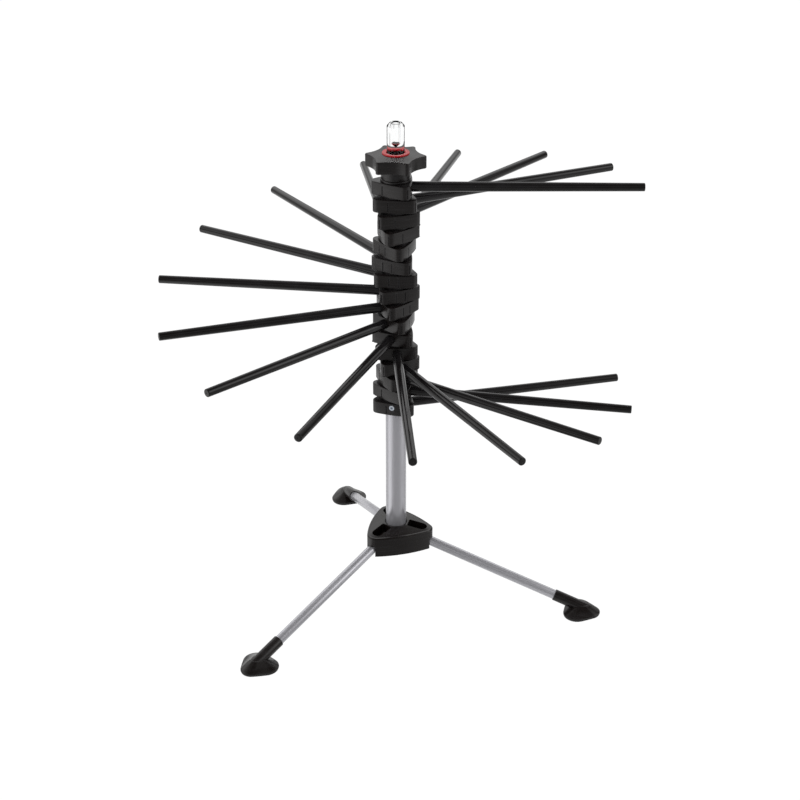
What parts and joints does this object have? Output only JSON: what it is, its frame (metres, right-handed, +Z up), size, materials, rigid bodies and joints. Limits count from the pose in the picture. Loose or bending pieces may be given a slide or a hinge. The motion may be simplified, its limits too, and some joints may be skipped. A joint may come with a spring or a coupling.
{
  "type": "pasta drying rack",
  "caption": "Free-standing rack whose rods fan out in a spiral round an aluminium column on three folding legs, with a star knob and a clear pasta wand kept in the column.",
  "frame": {"origin": "where the column's axis meets the table that the feet stand on", "axes": "+Z up along the column; +X to the right and +Y away from a viewer who sees the grub screw"},
  "size_m": [0.449, 0.4475, 0.4916],
  "materials": {
    "satin_black": "satin moulded black plastic",
    "gloss_black": "polished black plastic rod",
    "anodised": "satin anodised aluminium tube",
    "steel": "bright turned steel",
    "rubber": "soft matt black rubber",
    "clear": "clear polycarbonate rod, polished",
    "red": "glossy red plastic ring"
  },
  "bodies": {
    "base": {"hub_housing": "satin_black", "hub_screw": "steel", "pivot_pins": "steel", "tube_plug": "satin_black", "column_tube": "anodised", "wand_rest": "rubber", "grub_screw": "steel", "arm_ring_16": "satin_black", "arm_rod_16": "gloss_black"},
    "washer": {"thrust_washer": "satin_black"},
    "knob": {"knob": "satin_black", "knob_trim": "red"},
    "wand": {"wand": "clear"},
    "arm_01": {"arm_ring_01": "satin_black", "arm_rod_01": "gloss_black"},
    "arm_02": {"arm_ring_02": "satin_black", "arm_rod_02": "gloss_black"},
    "arm_03": {"arm_ring_03": "satin_black", "arm_rod_03": "gloss_black"},
    "arm_04": {"arm_ring_04": "satin_black", "arm_rod_04": "gloss_black"},
    "arm_05": {"arm_ring_05": "satin_black", "arm_rod_05": "gloss_black"},
    "arm_06": {"arm_ring_06": "satin_black", "arm_rod_06": "gloss_black"},
    "arm_07": {"arm_ring_07": "satin_black", "arm_rod_07": "gloss_black"},
    "arm_08": {"arm_ring_08": "satin_black", "arm_rod_08": "gloss_black"},
    "arm_09": {"arm_ring_09": "satin_black", "arm_rod_09": "gloss_black"},
    "arm_10": {"arm_ring_10": "satin_black", "arm_rod_10": "gloss_black"},
    "arm_11": {"arm_ring_11": "satin_black", "arm_rod_11": "gloss_black"},
    "arm_12": {"arm_ring_12": "satin_black", "arm_rod_12": "gloss_black"},
    "arm_13": {"arm_ring_13": "satin_black", "arm_rod_13": "gloss_black"},
    "arm_14": {"arm_ring_14": "satin_black", "arm_rod_14": "gloss_black"},
    "arm_15": {"arm_ring_15": "satin_black", "arm_rod_15": "gloss_black"},
    "leg_left": {"leg_tube_left": "anodised", "leg_plug_left": "satin_black", "foot_left": "satin_black", "foot_sole_left": "rubber"},
    "leg_right": {"leg_tube_right": "anodised", "leg_plug_right": "satin_black", "foot_right": "satin_black", "foot_sole_right": "rubber"},
    "leg_back": {"leg_tube_back": "anodised", "leg_plug_back": "satin_black", "foot_back": "satin_black", "foot_sole_back": "rubber"}
  },
  "joints": [
    {"name": "fan_15", "type": "hinge", "parent": "base", "child": "arm_15", "pos_m": [0, 0, 0], "axis": [0, 0, 1], "range_deg": [0, 25]},
    {"name": "fan_14", "type": "hinge", "parent": "arm_15", "child": "arm_14", "pos_m": [0, 0, 0], "axis": [0, 0, 1], "range_deg": [0, 25]},
    {"name": "fan_13", "type": "hinge", "parent": "arm_14", "child": "arm_13", "pos_m": [0, 0, 0], "axis": [0, 0, 1], "range_deg": [0, 25]},
    {"name": "fan_12", "type": "hinge", "parent": "arm_13", "child": "arm_12", "pos_m": [0, 0, 0], "axis": [0, 0, 1], "range_deg": [0, 25]},
    {"name": "fan_11", "type": "hinge", "parent": "arm_12", "child": "arm_11", "pos_m": [0, 0, 0], "axis": [0, 0, 1], "range_deg": [0, 25]},
    {"name": "fan_10", "type": "hinge", "parent": "arm_11", "child": "arm_10", "pos_m": [0, 0, 0], "axis": [0, 0, 1], "range_deg": [0, 25]},
    {"name": "fan_09", "type": "hinge", "parent": "arm_10", "child": "arm_09", "pos_m": [0, 0, 0], "axis": [0, 0, 1], "range_deg": [0, 25]},
    {"name": "fan_08", "type": "hinge", "parent": "arm_09", "child": "arm_08", "pos_m": [0, 0, 0], "axis": [0, 0, 1], "range_deg": [0, 25]},
    {"name": "fan_07", "type": "hinge", "parent": "arm_08", "child": "arm_07", "pos_m": [0, 0, 0], "axis": [0, 0, 1], "range_deg": [0, 25]},
    {"name": "fan_06", "type": "hinge", "parent": "arm_07", "child": "arm_06", "pos_m": [0, 0, 0], "axis": [0, 0, 1], "range_deg": [0, 25]},
    {"name": "fan_05", "type": "hinge", "parent": "arm_06", "child": "arm_05", "pos_m": [0, 0, 0], "axis": [0, 0, 1], "range_deg": [0, 25]},
    {"name": "fan_04", "type": "hinge", "parent": "arm_05", "child": "arm_04", "pos_m": [0, 0, 0], "axis": [0, 0, 1], "range_deg": [0, 25]},
    {"name": "fan_03", "type": "hinge", "parent": "arm_04", "child": "arm_03", "pos_m": [0, 0, 0], "axis": [0, 0, 1], "range_deg": [0, 25]},
    {"name": "fan_02", "type": "hinge", "parent": "arm_03", "child": "arm_02", "pos_m": [0, 0, 0], "axis": [0, 0, 1], "range_deg": [0, 25]},
    {"name": "fan_01", "type": "hinge", "parent": "arm_02", "child": "arm_01", "pos_m": [0, 0, 0], "axis": [0, 0, 1], "range_deg": [0, 25]},
    {"name": "washer_lift", "type": "slide", "parent": "base", "child": "washer", "axis": [0, 0, 1], "range_m": [0, 0.0015]},
    {"name": "knob_turn", "type": "hinge", "parent": "washer", "child": "knob", "pos_m": [0, 0, 0], "axis": [0, 0, 1], "range_deg": [0, 360]},
    {"name": "wand_lift", "type": "slide", "parent": "base", "child": "wand", "axis": [0, 0, 1], "range_m": [0, 0.4]},
    {"name": "leg_fold_left", "type": "hinge", "parent": "base", "child": "leg_left", "pos_m": [-0.01655, -0.01738, 0.06516], "axis": [0.7241, -0.6897, 0], "range_deg": [0, 70.6]},
    {"name": "leg_fold_right", "type": "hinge", "parent": "base", "child": "leg_right", "pos_m": [0.02333, -0.00565, 0.06516], "axis": [0.2353, 0.9719, 0], "range_deg": [0, 70.6]},
    {"name": "leg_fold_back", "type": "hinge", "parent": "base", "child": "leg_back", "pos_m": [-0.00677, 0.02303, 0.06516], "axis": [-0.9594, -0.2822, 0], "range_deg": [0, 70.6]}
  ],
  "couplings": [
    {"joint": "fan_14", "follows": "fan_15", "ratio": 1},
    {"joint": "fan_13", "follows": "fan_15", "ratio": 1},
    {"joint": "fan_12", "follows": "fan_15", "ratio": 1},
    {"joint": "fan_11", "follows": "fan_15", "ratio": 1},
    {"joint": "fan_10", "follows": "fan_15", "ratio": 1},
    {"joint": "fan_09", "follows": "fan_15", "ratio": 1},
    {"joint": "fan_08", "follows": "fan_15", "ratio": 1},
    {"joint": "fan_07", "follows": "fan_15", "ratio": 1},
    {"joint": "fan_06", "follows": "fan_15", "ratio": 1},
    {"joint": "fan_05", "follows": "fan_15", "ratio": 1},
    {"joint": "fan_04", "follows": "fan_15", "ratio": 1},
    {"joint": "fan_03", "follows": "fan_15", "ratio": 1},
    {"joint": "fan_02", "follows": "fan_15", "ratio": 1},
    {"joint": "fan_01", "follows": "fan_15", "ratio": 1},
    {"joint": "knob_turn", "follows": "washer_lift", "rad_per_m": 4188.8}
  ]
}
